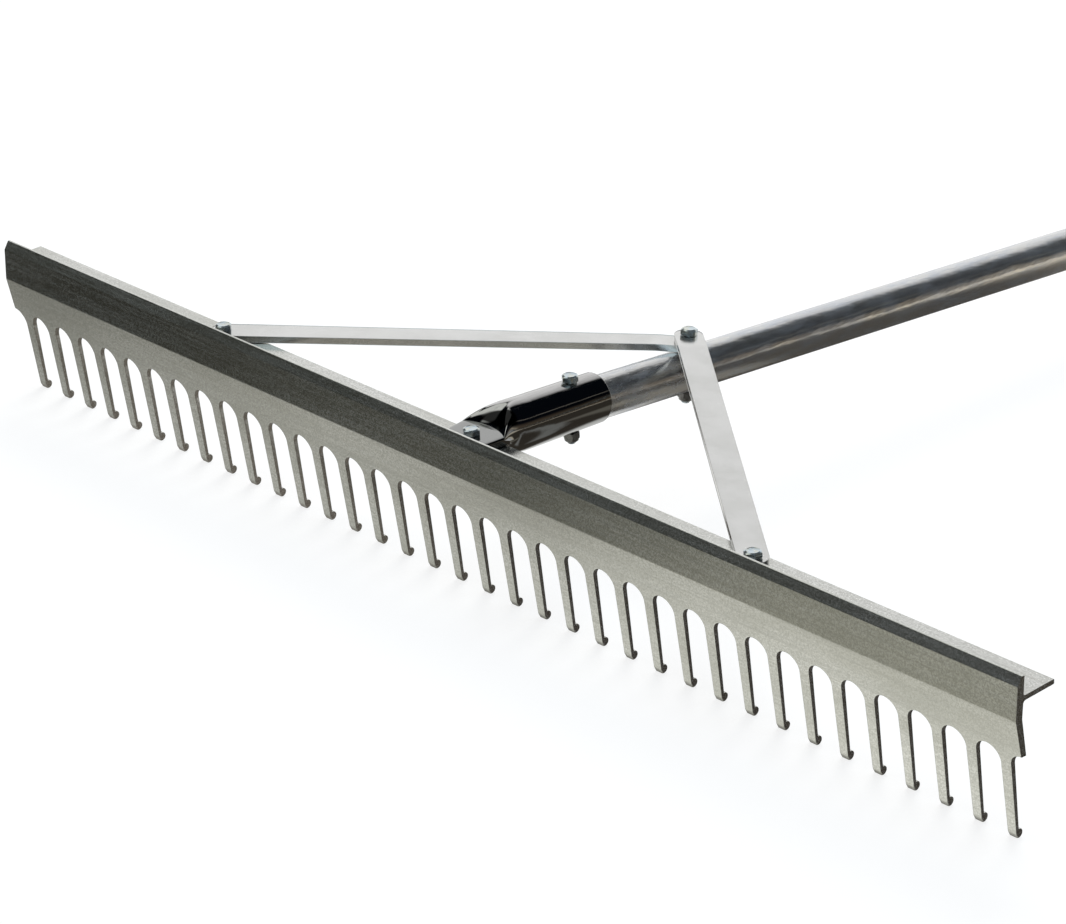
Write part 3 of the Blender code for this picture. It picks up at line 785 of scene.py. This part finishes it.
def bolt_grid(grip):
    """The bolt from its tip up: a thread whose radius falls and rises in a helical zigzag, a plain
    shank, the head's hexagon and its slightly dished top."""
    tip = -(grip + CLEARANCE + NUT_HEIGHT + COLLAR_HEIGHT + BOLT_BEYOND)
    start = tip + POINT_HEIGHT
    end = start + THREAD_LENGTH
    crown = CLEARANCE + HEAD_HEIGHT
    a = np.linspace(0, 2 * np.pi, SIDES, endpoint=False)[None]
    z = np.linspace(start, end, 81)[:, None]
    wave = np.abs(((z / THREAD_PITCH - a / (2 * np.pi)) % 1.0) * 2 - 1)
    fade = np.clip((z - start) / THREAD_FADE, 0, 1) * np.clip((end - z) / THREAD_FADE, 0, 1)
    taper = POINT_TAPER - np.clip(z - start, 0, POINT_TAPER)
    radius = BOLT_RADIUS - THREAD_DEPTH * wave * fade - taper
    thread = np.stack([radius * np.cos(a), radius * np.sin(a), z + 0 * a], -1)
    point = [(tip, 0.0), (tip, BOLT_RADIUS - 0.0008), (tip + 0.0002, BOLT_RADIUS - 0.0005)]
    shank = [(end + 0.0005, BOLT_RADIUS), (CLEARANCE, BOLT_RADIUS)]
    dish = [(crown - 0.00025, 0.0033), (crown - 0.0003, 0.0)]
    head = [hex_prism(CLEARANCE, crown, HEAD_CIRCLE, False), turned(dish, SIDES)]
    return np.concatenate([turned(point, SIDES), thread, turned(shank, SIDES), *head])


def nut_grid():
    """The nut from its bore out: a hexagon, then a collar turned over a pocket for the ring."""
    shoulder = CLEARANCE + NUT_HEIGHT
    brim = shoulder + COLLAR_HEIGHT
    pocket = COLLAR_RADIUS - COLLAR_WALL
    collar = [(shoulder, COLLAR_RADIUS), (brim - 0.0008, COLLAR_RADIUS)]
    collar += [(brim - 0.0003, COLLAR_RADIUS - 0.0001), (brim, COLLAR_RADIUS - 0.0004)]
    collar += [(brim - 0.0001, pocket), (shoulder, pocket), (shoulder, NUT_BORE)]
    base = [(CLEARANCE, NUT_BORE)]
    sides = hex_prism(CLEARANCE, shoulder, NUT_CIRCLE, True)
    return np.concatenate([turned(base, SIDES), sides, turned(collar + base, SIDES)])


def ring_grid():
    """The nylon ring: a plain turned band, a little lower at its outside."""
    low = 2 * CLEARANCE + NUT_HEIGHT
    high = CLEARANCE + NUT_HEIGHT + COLLAR_HEIGHT
    outer = COLLAR_RADIUS - COLLAR_WALL - CLEARANCE
    band = [(low, NUT_BORE), (low, outer), (high - 0.0002, outer), (high - 0.0001, NUT_BORE)]
    return turned(band + band[:1], SIDES)


zinc, root, where, shader = new_finish("zinc_plate")
passivate = noise(root, where, 260.0, 3.0, 0.6)
tarnish = noise(root, where, 900.0, 3.0, 0.6)
tone = passivate.step(0.4, 0.65).blend(colour(0.62, 0.70, 0.75), colour(0.70, 0.71, 0.64))
tone = (tarnish.step(0.5, 0.75) * 0.4).blend(tone, colour(0.42, 0.50, 0.55))
fill_in(root, shader, tone, 0.86, tarnish * 0.16 + 0.10, tarnish, 0.3, 0.00012)
# the nuts: the same zinc, rougher and darker; the darker colour is painted shade, as the nuts sit
# under the parts they hold
zinc_painted_shade, root, where, shader = new_finish("zinc_painted_shade")
tarnish = noise(root, where, 900.0, 3.0, 0.6)
tone = tarnish.step(0.4, 0.7).blend(colour(0.34, 0.34, 0.33), colour(0.22, 0.22, 0.215))
fill_in(root, shader, tone, 0.9, tarnish * 0.15 + 0.22, tarnish, 0.3, 0.00012)
nylon, root, where, shader = new_finish("natural_nylon")
milk = noise(root, where, 500.0, 3.0, 0.6)
tone = milk.blend(colour(0.70, 0.72, 0.75), colour(0.80, 0.81, 0.82))
fill_in(root, shader, tone, 0.0, milk * 0.2 + 0.35, milk, 0.2, 0.0001)

brace_top = CLEARANCE + BRACE_THICK
brace_grip = brace_top + FLANGE_THICK
tongue_top = CLEARANCE + TONGUE_THICK
clamp_stack = TUBE_RADIUS + 2 * (CLEARANCE + BRACE_THICK)
lift_by_lean = HEX_HALF * math.tan(FERRULE_BOLT_LEAN)
seat_radius, seat_lift = socket_size(FERRULE_BOLT_DISTANCE)
seat_height = seat_lift + seat_radius + lift_by_lean
across_socket = handle_place(FERRULE_BOLT_DISTANCE, seat_height)
across_socket = across_socket @ Matrix.Rotation(FERRULE_BOLT_LEAN, 4, "X")
socket_grip = 2 * seat_radius / math.cos(FERRULE_BOLT_LEAN) + 2 * lift_by_lean
for name, seat, grip, turn in (
    ("left_brace", flange_place(-BRACE_SPREAD, BOLT_SETBACK, brace_top), brace_grip, 46),
    ("right_brace", flange_place(BRACE_SPREAD, BOLT_SETBACK, brace_top), brace_grip, 58),
    ("tongue", flange_place(0, BOLT_SETBACK, tongue_top), tongue_top + FLANGE_THICK, 54),
    ("ferrule", across_socket, socket_grip, 53),
    ("clamp", handle_place(CLAMP_DISTANCE, clamp_stack), clamp_stack + TUBE_RADIUS, 28),
):
    there = seat @ Matrix.Rotation(math.radians(turn), 4, "Z")
    below = there @ Matrix.Translation((0, 0, -grip)) @ Matrix.Rotation(math.pi, 4, "X")
    for part, grid, frame_there, finish, slot in (
        ("_bolt", bolt_grid(grip), there, zinc, "zinc"),
        ("_nut", nut_grid(), below, zinc_painted_shade, "zinc"),
        ("_nut_ring", ring_grid(), below, nylon, "nylon"),
    ):
        sheets = [(placed(grid, frame_there), True)]
        make_piece(name + part + "_made", sheets, finish, [name + part])
